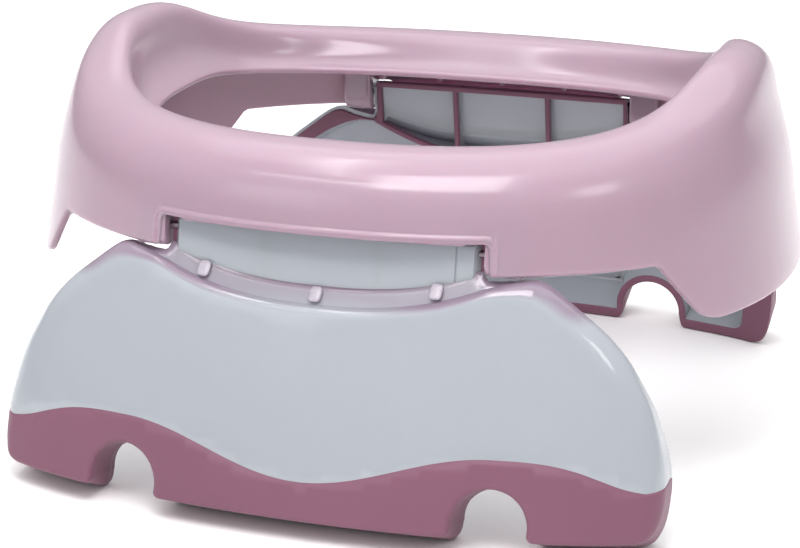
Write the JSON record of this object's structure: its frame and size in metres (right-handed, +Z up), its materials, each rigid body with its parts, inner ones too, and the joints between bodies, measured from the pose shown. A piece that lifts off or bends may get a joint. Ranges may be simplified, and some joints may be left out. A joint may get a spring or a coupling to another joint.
{
  "type": "folding potty seat",
  "caption": "Oval saddle-shaped potty seat ring on two splayed folding legs with soft grip feet and finger notches.",
  "frame": {"origin": "on the ground under the middle of the seat, with both legs in the standing position", "axes": "+Z up, X along the ring's long axis, front leg at -Y and rear leg at +Y"},
  "size_m": [0.3182, 0.3192, 0.1643],
  "materials": {
    "seat_pink": "glossy",
    "leg_white": "glossy",
    "grip_rose": "satin",
    "pin_steel": "satin",
    "stop_clear": "satin"
  },
  "bodies": {
    "seat": {"seat_ring": "seat_pink", "front_hinge_pin_left": "pin_steel", "front_hinge_pin_right": "pin_steel", "rear_hinge_pin_left": "pin_steel", "rear_hinge_pin_right": "pin_steel"},
    "front_leg": {"front_leg_shell": "leg_white", "front_leg_grip": "grip_rose", "front_leg_stop_left": "stop_clear", "front_leg_stop_middle": "stop_clear", "front_leg_stop_right": "stop_clear"},
    "rear_leg": {"rear_leg_shell": "leg_white", "rear_leg_grip": "grip_rose", "rear_leg_stop_left": "stop_clear", "rear_leg_stop_middle": "stop_clear", "rear_leg_stop_right": "stop_clear"}
  },
  "joints": [
    {"name": "front_leg_hinge", "type": "hinge", "parent": "seat", "child": "front_leg", "pos_m": [0, -0.1196, 0.1065], "axis": [1, 0, 0], "range_deg": [-60, 102]},
    {"name": "rear_leg_hinge", "type": "hinge", "parent": "seat", "child": "rear_leg", "pos_m": [0, 0.1196, 0.1065], "axis": [-1, 0, 0], "range_deg": [-60, 102]}
  ]
}
